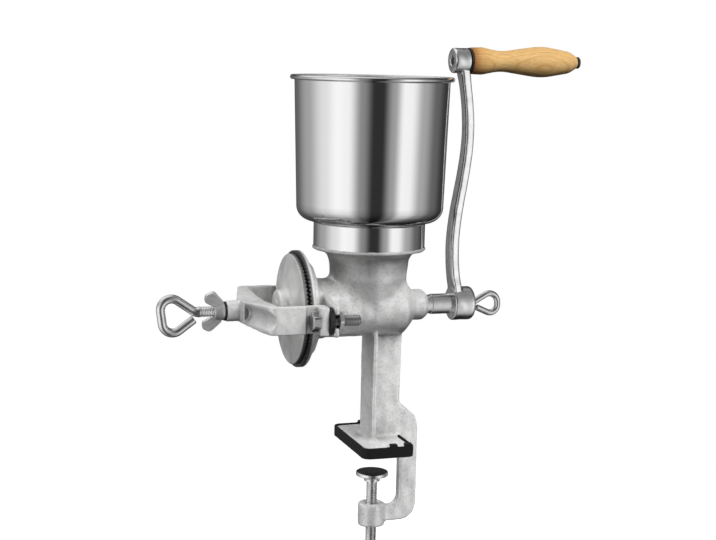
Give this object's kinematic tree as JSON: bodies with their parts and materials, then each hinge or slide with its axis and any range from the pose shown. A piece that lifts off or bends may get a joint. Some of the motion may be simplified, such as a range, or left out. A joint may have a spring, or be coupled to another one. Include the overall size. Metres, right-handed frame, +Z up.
{
  "type": "hand grain mill",
  "caption": "Table-clamp hand grain mill: open sheet hopper, auger and toothed burrs turned by a crank, with a screw that sets the gap between the burrs.",
  "frame": {"origin": "on the foot's lower face, which rests on the table, straight below the hopper's axis", "axes": "+Z up along the hopper's axis, +X along the shaft towards the crank, +Y across"},
  "size_m": [0.3992, 0.156, 0.5122],
  "materials": {
    "body_casting": "tinned, matt sand-cast skin",
    "hopper_sheet": "polished sheet steel",
    "foot_rubber": "black, matt",
    "burr_iron": "ground cast iron",
    "screw_steel": "zinc plated",
    "black_washer": "black fibre",
    "auger_iron": "tinned, turned at the journal",
    "crank_iron": "tinned and polished",
    "grip_wood": "turned, clear lacquer",
    "ball_steel": "hardened and polished"
  },
  "bodies": {
    "mill": {"mill_body": "body_casting", "foot_pad": "foot_rubber", "fixed_burr": "burr_iron", "burr_screws": "screw_steel", "adjuster_yoke": "body_casting", "yoke_bolts": "screw_steel", "yoke_washers": "black_washer", "yoke_nuts": "screw_steel"},
    "hopper": {"hopper": "hopper_sheet"},
    "thrust": {"thrust_ball": "ball_steel"},
    "rotor": {"feed_auger": "auger_iron", "rotating_burr": "burr_iron", "crank_arm": "crank_iron", "handle_bolt": "screw_steel", "grip_washer": "black_washer"},
    "grip": {"handle_grip": "grip_wood"},
    "crank_screw": {"crank_screw": "screw_steel"},
    "adjuster": {"adjusting_screw": "screw_steel"},
    "lock_washer": {"lock_washer": "screw_steel"},
    "wing_nut": {"lock_wing_nut": "screw_steel"},
    "clamp_pad": {"clamp_pad": "screw_steel"},
    "clamp_screw": {"clamp_screw": "screw_steel"}
  },
  "joints": [
    {"name": "hopper_lift", "type": "slide", "parent": "mill", "child": "hopper", "axis": [0, 0, 1], "range_m": [0, 0.04]},
    {"name": "thrust_travel", "type": "slide", "parent": "mill", "child": "thrust", "axis": [-1, 0, 0], "range_m": [0, 0.0015]},
    {"name": "crank_turn", "type": "hinge", "parent": "thrust", "child": "rotor", "pos_m": [0, 0, 0.1315], "axis": [1, 0, 0], "continuous": true},
    {"name": "grip_spin", "type": "hinge", "parent": "rotor", "child": "grip", "pos_m": [0.14, 0, 0.356], "axis": [1, 0, 0], "continuous": true},
    {"name": "crank_screw_turn", "type": "hinge", "parent": "rotor", "child": "crank_screw", "pos_m": [0.1, 0, 0.1315], "axis": [1, 0, 0], "range_deg": [0, 360]},
    {"name": "adjuster_turn", "type": "hinge", "parent": "thrust", "child": "adjuster", "pos_m": [-0.13, 0, 0.1315], "axis": [-1, 0, 0], "range_deg": [0, 360]},
    {"name": "washer_travel", "type": "slide", "parent": "adjuster", "child": "lock_washer", "axis": [-1, 0, 0], "range_m": [0, 0.003]},
    {"name": "wing_nut_turn", "type": "hinge", "parent": "lock_washer", "child": "wing_nut", "pos_m": [-0.14, 0, 0.1315], "axis": [-1, 0, 0], "range_deg": [0, 720]},
    {"name": "pad_travel", "type": "slide", "parent": "mill", "child": "clamp_pad", "axis": [0, 0, 1], "range_m": [-0.02, 0.022]},
    {"name": "clamp_screw_turn", "type": "hinge", "parent": "clamp_pad", "child": "clamp_screw", "pos_m": [0.00825, 0, -0.06], "axis": [0, 0, 1], "range_deg": [-4800, 5280]}
  ],
  "couplings": [
    {"joint": "adjuster_turn", "follows": "thrust_travel", "rad_per_m": 4188.8},
    {"joint": "washer_travel", "follows": "wing_nut_turn", "m_per_rad": 0.00023873},
    {"joint": "clamp_screw_turn", "follows": "pad_travel", "rad_per_m": 4188.8}
  ]
}
